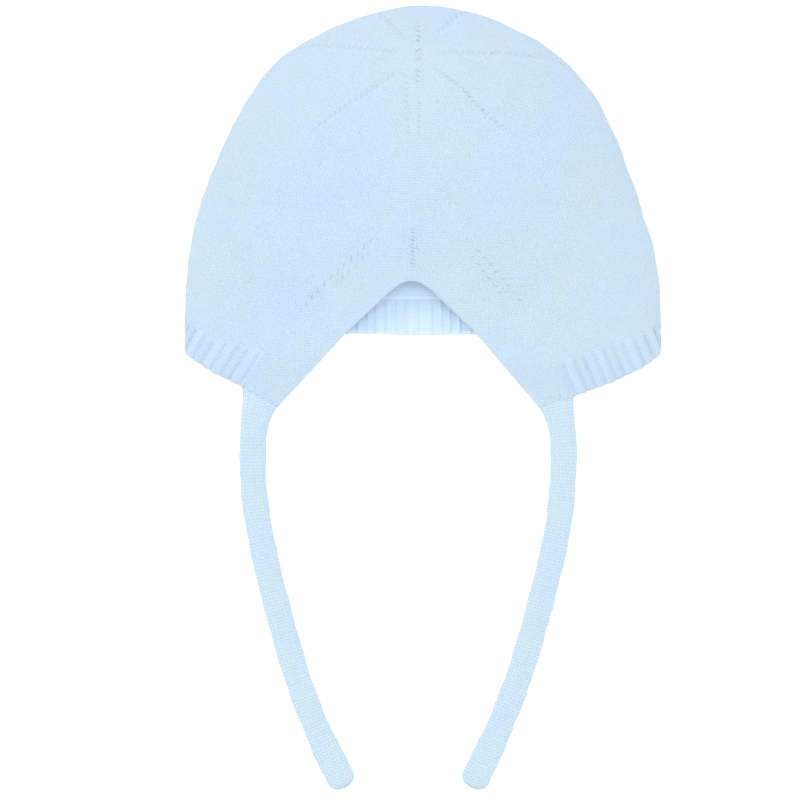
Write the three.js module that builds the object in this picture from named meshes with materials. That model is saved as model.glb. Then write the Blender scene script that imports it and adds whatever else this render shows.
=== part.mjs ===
// A baby's knitted bonnet, laid on its back with the face side up and its two ties laid out in front of it.
// Millimetres, +Z up from the surface it lies on, +Y from the neck towards the crown, +X to the right of the face opening.
import * as THREE from "three";

// Fabric
const KNIT = 2; // thickness of the plain knit
const BAND_INSIDE = 1.4; // the ribbed band is this thick behind the middle of the knit, and flush with it outside
const BAND_HEIGHT = 14;
const SEAM_GAP = 0.4;
const COLOUR = 0xd0e5f6;

// Laid flat, the bonnet is a tube closed at the crown. A place on it has a girth, measured round the tube from the
// middle of the face (0) by the side fold (FOLD) to the middle of the back (2 * FOLD), and a y.
const FOLD = 94.2;
const FOLD_RADIUS = 3; // the sharpest bend of the fabric's middle at the side folds
const CROWN_Y = 79.8;
const CROWN_CURL = 14; // how far from the crown the back starts to lift off the surface

// Cross sections at a depth below the crown: x of the middle, half the width, the height of the side fold's middle
// above the surface, and how far the face rises above the fold.
const SECTIONS = [
  { depth: 0, middle: 0, halfWidth: 0, foldHeight: 6.5, rise: 0 },
  { depth: 1.6, middle: 0.1, halfWidth: 13.5, foldHeight: 6.5, rise: 5 },
  { depth: 4, middle: 0.1, halfWidth: 23, foldHeight: 6.5, rise: 8.2 },
  { depth: 6.5, middle: 0, halfWidth: 29.8, foldHeight: 6.6, rise: 10.2 },
  { depth: 9.5, middle: -0.2, halfWidth: 36.7, foldHeight: 6.7, rise: 12.2 },
  { depth: 13, middle: -0.4, halfWidth: 43.8, foldHeight: 6.8, rise: 14 },
  { depth: 18, middle: -0.7, halfWidth: 51.9, foldHeight: 7, rise: 16.2 },
  { depth: 25, middle: -0.6, halfWidth: 59.8, foldHeight: 7, rise: 18.2 },
  { depth: 36, middle: -0.6, halfWidth: 68.2, foldHeight: 7, rise: 20 },
  { depth: 50, middle: -0.7, halfWidth: 75.7, foldHeight: 6.8, rise: 20.4 },
  { depth: 68, middle: -1.1, halfWidth: 83.4, foldHeight: 6.4, rise: 18.4 },
  { depth: 86, middle: -1, halfWidth: 89, foldHeight: 5.8, rise: 14.6 },
  { depth: 104, middle: -0.3, halfWidth: 93.1, foldHeight: 5.2, rise: 10.4 },
  { depth: 122, middle: 0, halfWidth: FOLD, foldHeight: 4.4, rise: 7 },
  { depth: 140, middle: 0, halfWidth: FOLD, foldHeight: 4, rise: 5.2 },
  { depth: 151, middle: 0, halfWidth: FOLD, foldHeight: 2.4, rise: 2.4 },
  { depth: 162, middle: 0, halfWidth: FOLD, foldHeight: 1.1, rise: 0.2 },
];

// Shallow hollows in the face, each along a line from one x and y to another.
const DENTS = [
  { fromX: -80, fromY: -12, toX: -66, toY: -31, width: 6, deep: 1.2 },
  { fromX: -66, fromY: -31, toX: -43, toY: -38, width: 6, deep: 1.2 },
  { fromX: 50, fromY: -30, toX: 64, toY: -20, width: 7, deep: 0.6 },
  { fromX: 66, fromY: 10, toX: 70, toY: -14, width: 6, deep: 0.7 },
];

// Girths of the corners of the face opening: the top of its notch, and the inner and outer edges of both ties.
const NOTCH = -4.4;
const LEFT_TIE_INNER = -58;
const LEFT_TIE_OUTER = -72;
const RIGHT_TIE_INNER = 46;
const RIGHT_TIE_OUTER = 60;

// The rim, from the middle of the back by the left side, the face and the right side to the back again.
const RIM = [
  { girth: -2 * FOLD, y: -50.8 },
  { girth: -1.7 * FOLD, y: -50.2 },
  { girth: -1.4 * FOLD, y: -52.2 },
  { girth: -FOLD, y: -59 },
  { girth: -84, y: -65.8 },
  { girth: LEFT_TIE_OUTER, y: -71.5 },
  { girth: LEFT_TIE_INNER, y: -79.2 },
  { girth: -31.2, y: -50.4 },
  { girth: -12.8, y: -33.4 },
  { girth: NOTCH, y: -27.4 },
  { girth: 3.6, y: -33.4 },
  { girth: 21.2, y: -50.4 },
  { girth: RIGHT_TIE_INNER, y: -79.2 },
  { girth: RIGHT_TIE_OUTER, y: -75.4 },
  { girth: 76, y: -69.6 },
  { girth: 88.6, y: -63.4 },
  { girth: FOLD, y: -59 },
  { girth: 1.4 * FOLD, y: -52.2 },
  { girth: 1.7 * FOLD, y: -50.2 },
  { girth: 2 * FOLD, y: -50.8 },
];
const NOTCH_ROUND = 6; // the notch's two edges meet in a curve about this far from its point

// The band's two ends lean towards the face, and so does the knit above them. The lean fades out above the band and
// to both sides of its ends.
const LEFT_END_LEAN = Math.tan(THREE.MathUtils.degToRad(33));
const RIGHT_END_LEAN = -Math.tan(THREE.MathUtils.degToRad(25));
const LEAN_REACH = 10;
const LEAN_FROM_FACE = 40;
const LEAN_TO_SIDE = [74, 87];

// Mesh
const PLAIN_STEP = 7.4; // girth of one column
const CROWN_ROWS = 24;
const BAND_ROWS = 3;
const EVEN_DEPTH = 130; // near the crown all columns have rows at the same depths, as if the rim lay this deep
const EDGE_SPREAD = 4; // two columns that meet at an end of the band move apart by this above it

// Ties
const TIE_WIDTH = 10.9;
const TIE_THICK = 4;
const TIE_SIDES = 12;
const TIE_STEPS = 26;
const TIE_HEIGHT = TIE_THICK / 2;
const LEFT_TIE_ROUTE = [
  [-65, -75.9], [-65.9, -77.7], [-67, -81.6], [-67.9, -88.8], [-68.2, -96.8], [-68.2, -104.8], [-67.8, -112.8],
  [-66.9, -120.8], [-65.6, -128.8], [-64, -136.8], [-62.3, -144.8], [-60.3, -152.8], [-58.2, -160.8],
  [-56, -168.8], [-53.8, -176.8], [-51.4, -184.8], [-48.7, -192.8], [-45.8, -200.8], [-42.4, -208.8],
  [-38.8, -216.8], [-34.8, -224.8], [-32.2, -230],
];
const RIGHT_TIE_ROUTE = [
  [53.2, -77.9], [53.9, -80.1], [55, -83.8], [55.9, -88.8], [56.4, -96.8], [56.3, -104.8], [55.8, -112.8],
  [55.1, -120.8], [53.9, -128.8], [52.3, -136.8], [50.5, -144.8], [48.5, -152.8], [46.4, -160.8],
  [44.2, -168.8], [41.9, -176.8], [39.4, -184.8], [36.6, -192.8], [33.6, -200.8], [30.3, -208.8],
  [26.6, -216.8], [22.8, -224.8], [20.4, -230],
];

const clamp = (x, low, high) => Math.min(Math.max(x, low), high);

function smoothstep(from, to, x) {
  const t = clamp((x - from) / (to - from), 0, 1);
  return t * t * (3 - 2 * t);
}

// A column of SECTIONS at any depth, by a cubic through its rows. Rows are spaced by the square root of their depth,
// which rounds the crown.
function section(column, depth) {
  const at = Math.sqrt(clamp(depth, 0, SECTIONS.at(-1).depth));
  const place = (i) => Math.sqrt(SECTIONS[i].depth);
  const value = (i) => SECTIONS[i][column];
  const last = SECTIONS.length - 1;
  const slope = (i) => {
    const before = Math.max(i - 1, 0);
    const after = Math.min(i + 1, last);
    return (value(after) - value(before)) / (place(after) - place(before));
  };
  let i = 0;
  while (i < last - 1 && place(i + 1) < at) i += 1;
  const span = place(i + 1) - place(i);
  const t = (at - place(i)) / span;
  return (
    value(i) * (1 + 2 * t) * (1 - t) ** 2 +
    slope(i) * span * t * (1 - t) ** 2 +
    value(i + 1) * t * t * (3 - 2 * t) +
    slope(i + 1) * span * t * t * (t - 1)
  );
}

function rimY(girth) {
  let i = 0;
  while (i < RIM.length - 2 && RIM[i + 1].girth < girth) i += 1;
  const [a, b] = [RIM[i], RIM[i + 1]];
  const straight = a.y + ((b.y - a.y) * (girth - a.girth)) / (b.girth - a.girth);
  const fromNotch = Math.abs(girth - NOTCH);
  return straight - NOTCH_ROUND * 0.35 * Math.max(0, 1 - fromNotch / NOTCH_ROUND) ** 2;
}

// How far the column that starts at this girth of the rim has leaned over, height above the rim.
function lean(girth, height) {
  const slope = girth < 0 ? LEFT_END_LEAN : RIGHT_END_LEAN;
  const beside = smoothstep(...LEAN_TO_SIDE, Math.abs(girth));
  const share = smoothstep(0, LEAN_FROM_FACE, Math.abs(girth)) * (1 - beside);
  const above = Math.max(0, height - BAND_HEIGHT);
  return slope * share * (Math.min(height, BAND_HEIGHT) + LEAN_REACH * (1 - Math.exp(-above / LEAN_REACH)));
}

// How deep the hollows are at a place of the face.
function dent(x, y) {
  const here = new THREE.Vector3(x, y, 0);
  const depths = DENTS.map(({ fromX, fromY, toX, toY, width, deep }) => {
    const line = new THREE.Line3(new THREE.Vector3(fromX, fromY, 0), new THREE.Vector3(toX, toY, 0));
    const away = line.closestPointToPoint(here, true, new THREE.Vector3()).distanceTo(here);
    return deep * Math.exp(-((away / width) ** 2));
  });
  return Math.max(...depths);
}

// The middle of the fabric at a girth and a depth below the crown.
function fabric(girth, depth) {
  const turns = ((girth / FOLD + 6) % 4) - 2; // -2 to 2, and 0 in the middle of the face
  const onFace = Math.abs(turns) <= 1;
  const across = onFace ? turns : Math.sign(turns) * (2 - Math.abs(turns));
  const halfWidth = section("halfWidth", depth);
  const x = section("middle", depth) + halfWidth * across;
  const y = CROWN_Y - depth;
  const foldHeight = section("foldHeight", depth);
  if (onFace) {
    const rise = section("rise", depth);
    const power = Math.max(2, (2 * halfWidth * FOLD_RADIUS) / Math.max(rise, 0.1) ** 2);
    const share = Math.sqrt(Math.max(0, 1 - Math.abs(across) ** power));
    return new THREE.Vector3(x, y, foldHeight + share * (rise - dent(x, y)));
  }
  const crownCurl = clamp(1 - depth / CROWN_CURL, 0, 1);
  const lift = (SECTIONS[0].foldHeight - KNIT / 2) * (1 - Math.sqrt(1 - crownCurl ** 2));
  const drop = Math.max(0.01, foldHeight - KNIT / 2 - lift);
  const bend = Math.min(drop ** 2 / FOLD_RADIUS, halfWidth + 0.01);
  const curl = clamp(1 - (halfWidth * (1 - Math.abs(across))) / bend, 0, 1);
  return new THREE.Vector3(x, y, foldHeight - drop * Math.sqrt(1 - curl ** 2));
}

// A point of the column that starts on the rim at a girth, height above the rim, and outside by so much.
function onColumn(girth, height, outside) {
  const at = (g, h) => fabric(g + lean(g, h), CROWN_Y - rimY(g) - h);
  const step = 0.2;
  const up = at(girth, height + step).sub(at(girth, height - step));
  const round = at(girth + step, height).sub(at(girth - step, height));
  return at(girth, height).addScaledVector(round.cross(up).normalize(), outside);
}

// A closed body through rings of points. A ring of one point is a tip, and other end rings get a fan from their middle.
function bodyThrough(rings) {
  const closed = [...rings];
  const middle = (ring) => ring.reduce((sum, p) => sum.add(p), new THREE.Vector3()).divideScalar(ring.length);
  if (closed[0].length > 1) closed.unshift([middle(closed[0])]);
  if (closed.at(-1).length > 1) closed.push([middle(closed.at(-1))]);
  const starts = [];
  const positions = [];
  for (const ring of closed) {
    starts.push(positions.length / 3);
    for (const p of ring) positions.push(p.x, p.y, p.z);
  }
  const index = [];
  for (let i = 0; i + 1 < closed.length; i += 1) {
    const [near, far] = [closed[i].length, closed[i + 1].length];
    const count = Math.max(near, far);
    for (let j = 0; j < count; j += 1) {
      const k = (j + 1) % count;
      const a = starts[i] + (j % near);
      const b = starts[i] + (k % near);
      const c = starts[i + 1] + (k % far);
      const d = starts[i + 1] + (j % far);
      if (near > 1) index.push(a, c, b);
      if (far > 1) index.push(a, d, c);
    }
  }
  const geometry = new THREE.BufferGeometry();
  geometry.setAttribute("position", new THREE.Float32BufferAttribute(positions, 3));
  geometry.setIndex(index);
  geometry.computeVertexNormals();
  return geometry;
}

// Girths from one corner to the next, about PLAIN_STEP apart and closer at the side folds.
function girths(corners) {
  const found = [];
  for (let i = 0; i + 1 < corners.length; i += 1) {
    const count = Math.max(1, Math.round((corners[i + 1] - corners[i]) / PLAIN_STEP));
    for (let j = 0; j < count; j += 1) {
      found.push(corners[i] + ((corners[i + 1] - corners[i]) * j) / count);
    }
  }
  found.push(corners.at(-1));
  return found;
}

// Extra columns round a side fold, where the fabric turns over.
const roundFold = (fold) => [-7, -3.4, -1.5, -0.4, 0, 0.4, 1.5, 3.4, 7].map((away) => fold + away);

function material(colour) {
  return new THREE.MeshStandardMaterial({ color: colour, roughness: 0.95, metalness: 0 });
}

function named(name, geometry) {
  const mesh = new THREE.Mesh(geometry, material(COLOUR));
  mesh.name = name;
  return mesh;
}

// Columns all the way round, which the crown and the band share so that their edges follow each other.
const COLUMNS = girths([
  -2 * FOLD, ...roundFold(-FOLD), LEFT_TIE_OUTER - SEAM_GAP, LEFT_TIE_OUTER, LEFT_TIE_INNER,
  NOTCH - NOTCH_ROUND, NOTCH, NOTCH + NOTCH_ROUND, RIGHT_TIE_INNER, RIGHT_TIE_OUTER,
  RIGHT_TIE_OUTER + SEAM_GAP, ...roundFold(FOLD), 2 * FOLD,
]).slice(0, -1);
const BAND_HEIGHTS = Array.from({ length: BAND_ROWS + 1 }, (_, row) => (BAND_HEIGHT * row) / BAND_ROWS);

// The plain knit: crown, face and the two flaps that the ties are sewn to. Beside the flaps it ends on the band.
function crown() {
  const heights = (girth, row) => {
    const onFlap = girth > LEFT_TIE_OUTER - SEAM_GAP / 2 && girth < RIGHT_TIE_OUTER + SEAM_GAP / 2;
    const low = onFlap ? BAND_HEIGHTS : BAND_HEIGHTS.map((_, i) => BAND_HEIGHT + SEAM_GAP + i);
    if (row < BAND_ROWS) return low[row];
    const share = (1 - (row - BAND_ROWS) / (CROWN_ROWS - BAND_ROWS)) ** 1.7;
    const whole = CROWN_Y - rimY(girth);
    const depth = share * (EVEN_DEPTH + (whole - low[BAND_ROWS] - EVEN_DEPTH) * share);
    return whole - depth;
  };
  // Beside the band the flaps' edges stand back from its ends by the seam gap.
  const placed = (girth, height) => {
    const away = SEAM_GAP / 10 + EDGE_SPREAD * smoothstep(BAND_HEIGHT, 3 * BAND_HEIGHT, height);
    if (Math.abs(girth - (LEFT_TIE_OUTER - SEAM_GAP)) < SEAM_GAP / 2) return LEFT_TIE_OUTER - away;
    if (Math.abs(girth - (RIGHT_TIE_OUTER + SEAM_GAP)) < SEAM_GAP / 2) return RIGHT_TIE_OUTER + away;
    return girth;
  };
  const layer = (outside) =>
    Array.from({ length: CROWN_ROWS }, (_, row) =>
      COLUMNS.map((girth) => {
        const height = heights(girth, row);
        const at = placed(girth, height);
        return onColumn(at, height + rimY(girth) - rimY(at), outside);
      }),
    );
  const tip = (outside) => [fabric(0, 0).add(new THREE.Vector3(0, outside, 0))];
  return bodyThrough([tip(KNIT / 2), ...layer(KNIT / 2).reverse(), ...layer(-KNIT / 2), tip(-KNIT / 2)]);
}

// The ribbed band, from flap to flap round the back of the neck.
function neckBand() {
  const right = COLUMNS.filter((girth) => girth > RIGHT_TIE_OUTER + SEAM_GAP / 2);
  const left = COLUMNS.filter((girth) => girth < LEFT_TIE_OUTER - SEAM_GAP / 2);
  return bodyThrough(
    [...right, ...left].map((girth) => [
      ...BAND_HEIGHTS.map((height) => onColumn(girth, height, KNIT / 2)),
      ...BAND_HEIGHTS.map((height) => onColumn(girth, height, -BAND_INSIDE)).reverse(),
    ]),
  );
}

function tie(route) {
  const path = new THREE.CatmullRomCurve3(route.map(([x, y]) => new THREE.Vector3(x, y, TIE_HEIGHT)));
  const flattened = new THREE.Shape();
  flattened.absellipse(0, 0, TIE_THICK / 2, TIE_WIDTH / 2, 0, 2 * Math.PI);
  const outline = new THREE.Shape(flattened.getSpacedPoints(TIE_SIDES).slice(0, -1));
  return new THREE.ExtrudeGeometry(outline, { steps: TIE_STEPS, extrudePath: path, curveSegments: 1 });
}

const bonnet = new THREE.Group();
bonnet.add(named("crown", crown()));
bonnet.add(named("neck_band", neckBand()));
bonnet.add(named("tie_left", tie(LEFT_TIE_ROUTE)));
bonnet.add(named("tie_right", tie(RIGHT_TIE_ROUTE)));

export default bonnet;
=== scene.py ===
"""A baby's knitted bonnet laid flat with the face side up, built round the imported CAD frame.

Shapes are worked out in millimetres, as in the CAD source, and turned into metres when a mesh is made.
"""

import math

import bmesh
import bpy
import numpy as np
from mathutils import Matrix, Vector


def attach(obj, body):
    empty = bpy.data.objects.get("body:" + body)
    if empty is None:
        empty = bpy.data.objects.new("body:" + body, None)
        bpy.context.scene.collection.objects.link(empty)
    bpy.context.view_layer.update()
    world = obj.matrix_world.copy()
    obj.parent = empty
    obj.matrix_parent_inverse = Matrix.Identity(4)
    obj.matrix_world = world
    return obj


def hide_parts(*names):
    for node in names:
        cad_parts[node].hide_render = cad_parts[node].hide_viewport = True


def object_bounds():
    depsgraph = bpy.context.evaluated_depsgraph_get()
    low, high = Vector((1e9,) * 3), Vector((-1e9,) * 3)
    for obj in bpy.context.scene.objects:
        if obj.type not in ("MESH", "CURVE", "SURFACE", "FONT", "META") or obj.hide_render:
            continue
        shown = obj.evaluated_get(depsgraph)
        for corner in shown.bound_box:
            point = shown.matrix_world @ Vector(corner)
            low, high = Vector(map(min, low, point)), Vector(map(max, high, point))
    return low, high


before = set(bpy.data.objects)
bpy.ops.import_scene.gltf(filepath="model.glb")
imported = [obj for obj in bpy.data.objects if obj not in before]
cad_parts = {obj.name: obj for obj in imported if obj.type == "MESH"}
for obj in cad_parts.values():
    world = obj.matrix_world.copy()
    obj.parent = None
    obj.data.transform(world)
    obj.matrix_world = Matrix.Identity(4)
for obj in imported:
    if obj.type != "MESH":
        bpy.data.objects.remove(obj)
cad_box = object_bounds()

MM = 0.001


# ---------------------------------------------------------------- camera

CAMERA_DISTANCE = 1.6  # metres above the outline of the bonnet
FRAME_WIDTH = 0.32  # metres that the square picture covers at that outline
OUTLINE_HEIGHT = 0.005
FRAME_FROM_CENTRE = (-0.00925, -0.001)  # where the picture's middle is from the middle of the CAD box
SENSOR = 36.0

camera = bpy.data.objects.new("camera", bpy.data.cameras.new("camera"))
bpy.context.scene.collection.objects.link(camera)
box_centre = (cad_box[0] + cad_box[1]) / 2
camera.location = (
    box_centre.x + FRAME_FROM_CENTRE[0],
    box_centre.y + FRAME_FROM_CENTRE[1],
    OUTLINE_HEIGHT + CAMERA_DISTANCE,
)
camera.data.sensor_width = SENSOR
camera.data.lens = SENSOR * CAMERA_DISTANCE / FRAME_WIDTH
camera.data.clip_start, camera.data.clip_end = 0.1, 20.0
bpy.context.scene.camera = camera


# ---------------------------------------------------------------- node helpers


class Wire:
    """A number in a node tree: arithmetic on it adds Math nodes."""

    def __init__(self, tree, socket):
        self.tree, self.socket = tree, socket

    def math(self, operation, *others):
        node = self.tree.nodes.new("ShaderNodeMath")
        node.operation = operation
        for socket, value in zip(node.inputs, (self, *others)):
            if isinstance(value, Wire):
                self.tree.links.new(value.socket, socket)
            else:
                socket.default_value = value
        return Wire(self.tree, node.outputs[0])

    def __add__(self, other):
        return self.math("ADD", other)

    def __sub__(self, other):
        return self.math("SUBTRACT", other)

    def __mul__(self, other):
        return self.math("MULTIPLY", other)

    def __rsub__(self, other):
        return (self * -1.0).math("ADD", other)

    def fract(self):
        return self.math("FRACT")

    def sin(self):
        return self.math("SINE")

    def abs(self):
        return self.math("ABSOLUTE")

    def power(self, exponent):
        return self.math("POWER", exponent)

    def hill(self, width):
        """1 at zero, falling to nothing some widths away."""
        scaled = self * (1 / width)
        return (scaled * scaled * -1.0).math("EXPONENT")


def uv_pair(tree, name):
    node = tree.nodes.new("ShaderNodeUVMap")
    node.uv_map = name
    split = tree.nodes.new("ShaderNodeSeparateXYZ")
    tree.links.new(node.outputs["UV"], split.inputs[0])
    return Wire(tree, split.outputs["X"]), Wire(tree, split.outputs["Y"])


def attribute(tree, name):
    node = tree.nodes.new("ShaderNodeAttribute")
    node.attribute_name = name
    return Wire(tree, node.outputs["Fac"])


def noise(tree, per_metre, detail=2.0, roughness=0.5):
    node = tree.nodes.new("ShaderNodeTexNoise")
    place = tree.nodes.new("ShaderNodeTexCoord")
    tree.links.new(place.outputs["Object"], node.inputs["Vector"])
    node.inputs["Scale"].default_value = per_metre
    node.inputs["Detail"].default_value = detail
    node.inputs["Roughness"].default_value = roughness
    return Wire(tree, node.outputs["Fac"])


def mix_colour(tree, share, first, second):
    node = tree.nodes.new("ShaderNodeMix")
    node.data_type = "RGBA"
    for socket, value in ((node.inputs[0], share), (node.inputs[6], first), (node.inputs[7], second)):
        if isinstance(value, Wire):
            tree.links.new(value.socket, socket)
        else:
            socket.default_value = value if socket is node.inputs[0] else (*value, 1.0)
    return Wire(tree, node.outputs[2])


def brightened(tree, colour, factor):
    node = tree.nodes.new("ShaderNodeVectorMath")
    node.operation = "SCALE"
    tree.links.new(colour.socket, node.inputs[0])
    tree.links.new(factor.socket, node.inputs["Scale"])
    return Wire(tree, node.outputs[0])


# ---------------------------------------------------------------- knitted materials

BLUE = (0.386, 0.487, 0.634)
CYAN = (0.399, 0.506, 0.568)
PATCH_CONTRAST, PATCH_MIDDLE = 2.2, 0.45  # of the soft patches that lie between the two colours
PATCHES_PER_METRE, UNEVEN_PER_METRE, YARN_PER_METRE, FUZZ_PER_METRE = 26.0, 420.0, 900.0, 5200.0
STITCH_PAINTED_LIGHT, STITCH_PAINTED_SHADE = 0.24, 0.115  # painted light and shade of the stitches: how much lighter a stitch's middle is than its edge, and how much darker its edge is
YARN_LIGHT = 0.16
STITCH_RELIEF = 0.2  # mm
FUZZ_RELIEF = 0.07  # mm
LINE_ZIGZAG = 0.5  # mm that a fashioning line swings to each side
LINE_UNEVEN = 1.4
DOT_LONG, DOT_WIDE, DOT_PAINTED_SHADE, DOT_DEEP = 0.26, 0.5, 0.17, 0.3  # in stitches, mm, share of the light taken off as painted shade in a dot, mm
GROOVE_AT, GROOVE_WIDE, GROOVE_PAINTED_SHADE, GROOVE_DEEP = 0.2, 0.6, 0.04, 0.1  # mm to the side, mm, share taken off as painted shade in the groove, mm
# of the crest beside a line: mm to the side, mm, share added as a painted highlight, mm
CREST_AT, CREST_WIDE, CREST_PAINTED_LIGHT, CREST_HIGH = 1.5, 0.7, 0.03, 0.18


def face_stitches(u, v):
    """Height from 0 to 1 of plain knitting seen from its face: columns of small Vs."""
    from_middle = ((u.fract() - 0.5).abs()) * 2.0
    leg = ((v - from_middle * 0.75).fract() * math.pi).sin().math("MAXIMUM", 0.0)
    across = (from_middle * 2.0 - 1.0).power(2.0)
    return leg * (1.0 - across * 0.8)


def purl_stitches(u, v):
    """The same seen from its back: rows of small bumps."""
    row = v + (u * (2 * math.pi)).sin() * 0.16
    return (row.fract() * math.pi).sin().math("MAXIMUM", 0.0).power(0.8)


def knit(name, stitches, cyan=0.0, depth=1.0, lines=False, brightness_and_painted_light=1.0):
    """A knitted material. cyan moves its patches towards CYAN, depth scales its stitches and their painted light and
    shade, and the last argument scales its colour; the insides get a higher one as painted light, so that they are
    not left in shade.
    """
    material = bpy.data.materials.new(name)
    material.use_nodes = True
    tree = material.node_tree
    shader = tree.nodes["Principled BSDF"]
    height = stitches(*uv_pair(tree, "stitches"))
    fuzz = noise(tree, FUZZ_PER_METRE, 3.0, 0.65)
    patches = noise(tree, PATCHES_PER_METRE, 3.0, 0.55)
    yarn = noise(tree, YARN_PER_METRE, 2.0, 0.6)
    share = ((patches - 0.5) * PATCH_CONTRAST + PATCH_MIDDLE + cyan).math("MINIMUM", 1.0).math("MAXIMUM", 0.0)
    colour = mix_colour(tree, share, BLUE, CYAN)
    # Painted light and shade of the stitches, lighter in their middles and darker at their edges, with the yarn's own
    # uneven tone.
    light = (height * (STITCH_PAINTED_LIGHT * depth) + (1.0 - STITCH_PAINTED_SHADE * depth)) + (yarn - 0.5) * YARN_LIGHT
    relief = height * (STITCH_RELIEF * depth) + fuzz * FUZZ_RELIEF
    if lines:
        along, across = uv_pair(tree, "lines")
        ridge, dots = attribute(tree, "ridge"), attribute(tree, "dots")
        swung = across + (along * (2 * math.pi)).sin() * LINE_ZIGZAG
        uneven = noise(tree, UNEVEN_PER_METRE, 1.0) * LINE_UNEVEN
        dot = (along.fract() - 0.5).hill(DOT_LONG) * swung.hill(DOT_WIDE) * dots * uneven
        groove = (swung - GROOVE_AT).hill(GROOVE_WIDE) * ridge * uneven
        crest = (swung - CREST_AT).hill(CREST_WIDE) * ridge
        # Painted shade in the dots and grooves of the lines, and a painted highlight on their crests.
        light = light - dot * DOT_PAINTED_SHADE - groove * GROOVE_PAINTED_SHADE + crest * CREST_PAINTED_LIGHT
        relief = relief - dot * DOT_DEEP - groove * GROOVE_DEEP + crest * CREST_HIGH
    colour = brightened(tree, colour, light * brightness_and_painted_light)
    tree.links.new(colour.socket, shader.inputs["Base Color"])
    shader.inputs["Roughness"].default_value = 0.92
    shader.inputs["Specular IOR Level"].default_value = 0.25
    shader.inputs["Sheen Weight"].default_value = 0.22
    shader.inputs["Sheen Roughness"].default_value = 0.45
    shader.inputs["Sheen Tint"].default_value = (0.86, 0.94, 1.0, 1.0)
    bump = tree.nodes.new("ShaderNodeBump")
    bump.inputs["Strength"].default_value = 1.0
    bump.inputs["Distance"].default_value = MM
    tree.links.new(relief.socket, bump.inputs["Height"])
    tree.links.new(bump.outputs["Normal"], shader.inputs["Normal"])
    return material


PLAIN = knit("plain_knit", face_stitches, cyan=0.05, lines=True)
# The insides are given a brighter colour as painted light, so that the inside seen through the face opening is not
# left in shade.
PLAIN_BACK = knit("plain_knit_inside", purl_stitches, cyan=-0.25, depth=0.5, brightness_and_painted_light=1.265)
RIB = knit("rib_knit", face_stitches, cyan=-0.05)
RIB_BACK = knit("rib_knit_inside", face_stitches, cyan=-0.2, depth=0.7, brightness_and_painted_light=1.235)
TIE = knit("tie_knit", face_stitches, cyan=0.3, depth=1.1, brightness_and_painted_light=0.99)


# ---------------------------------------------------------------- meshes


def new_piece(
    name, points, faces, materials, uvs, extra_uvs=None, attributes=None, face_material=None, flat=None
):
    """A mesh from points in mm, smooth but for its flat faces. uvs has one pair per face corner, face by face."""
    mesh = bpy.data.meshes.new(name)
    mesh.from_pydata((np.asarray(points) * MM).tolist(), [], faces)
    for layer_name, layer in [("stitches", uvs), *(extra_uvs or {}).items()]:
        made = mesh.uv_layers.new(name=layer_name)
        made.data.foreach_set("uv", np.asarray(layer, np.float32).ravel())
    for attribute_name, values in (attributes or {}).items():
        made = mesh.attributes.new(attribute_name, "FLOAT", "POINT")
        made.data.foreach_set("value", np.asarray(values, np.float32))
    for material in materials:
        mesh.materials.append(material)
    if face_material is not None:
        mesh.polygons.foreach_set("material_index", np.asarray(face_material, np.int32))
    smooth = np.ones(len(mesh.polygons), bool)
    if flat is not None:
        smooth = ~np.asarray(flat, bool)
    mesh.polygons.foreach_set("use_smooth", smooth)
    mesh.update()
    piece = bpy.data.objects.new(name, mesh)
    bpy.context.scene.collection.objects.link(piece)
    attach(piece, "root")
    return piece


def smoothstep(low, high, x):
    t = np.clip((np.asarray(x, float) - low) / (high - low), 0, 1)
    return t * t * (3 - 2 * t)


# ---------------------------------------------------------------- ties

TIE_HALF_WIDTH = 5.25
TIE_HALF_THICK = 1.95
TIE_WALES = 6
TIE_SIDES = 72
TIE_STEP = 0.9
TIE_COURSE = 1.35
TIE_ROUTE_LEFT = [
    [-65, -75.9], [-65.9, -77.7], [-67, -81.6], [-67.9, -88.8], [-68.2, -96.8], [-68.2, -104.8],
    [-67.8, -112.8], [-66.9, -120.8], [-65.6, -128.8], [-64, -136.8], [-62.3, -144.8], [-60.3, -152.8],
    [-58.2, -160.8], [-56, -168.8], [-53.8, -176.8], [-51.4, -184.8], [-48.7, -192.8], [-45.8, -200.8],
    [-42.4, -208.8], [-38.8, -216.8], [-34.8, -224.8], [-32.2, -230],
]
TIE_ROUTE_RIGHT = [
    [53.2, -77.9], [53.9, -80.1], [55, -83.8], [55.9, -88.8], [56.4, -96.8], [56.3, -104.8],
    [55.8, -112.8], [55.1, -120.8], [53.9, -128.8], [52.3, -136.8], [50.5, -144.8], [48.5, -152.8],
    [46.4, -160.8], [44.2, -168.8], [41.9, -176.8], [39.4, -184.8], [36.6, -192.8], [33.6, -200.8],
    [30.3, -208.8], [26.6, -216.8], [22.8, -224.8], [20.4, -230],
]
TIE_JOINS_AT = -92.0  # y below which a tie has its own width
TIE_JOIN_ROWS = 24
TIE_WIDER_BY, TIE_WIDENS = 0.55, (26, 6)  # mm to each side at the free end, and mm to the end where it widens
TIE_END = 2.6  # mm that the rounded end reaches past the route's last point
NOSE_ROWS, NOSE_LENGTH, NOSE_POWER = 12, 0.95, 2.5  # its length in half widths, and the power of its outline
TIE_LOWEST = 0.03  # mm above the floor
NOSE_TIP, NOSE_THIN = 0.12, 0.35  # least share of the width and of the thickness at the tip
TIE_POWERS = (2.6, 2.3)  # of the cross-section, which is between an ellipse and a box
TIE_WALE_HEIGHT = 0.26
FLAP_HALF_THICK = 1.05
FLAP_BLEND = 11.0  # mm along the tie over which the flap's edge turns into it


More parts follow.
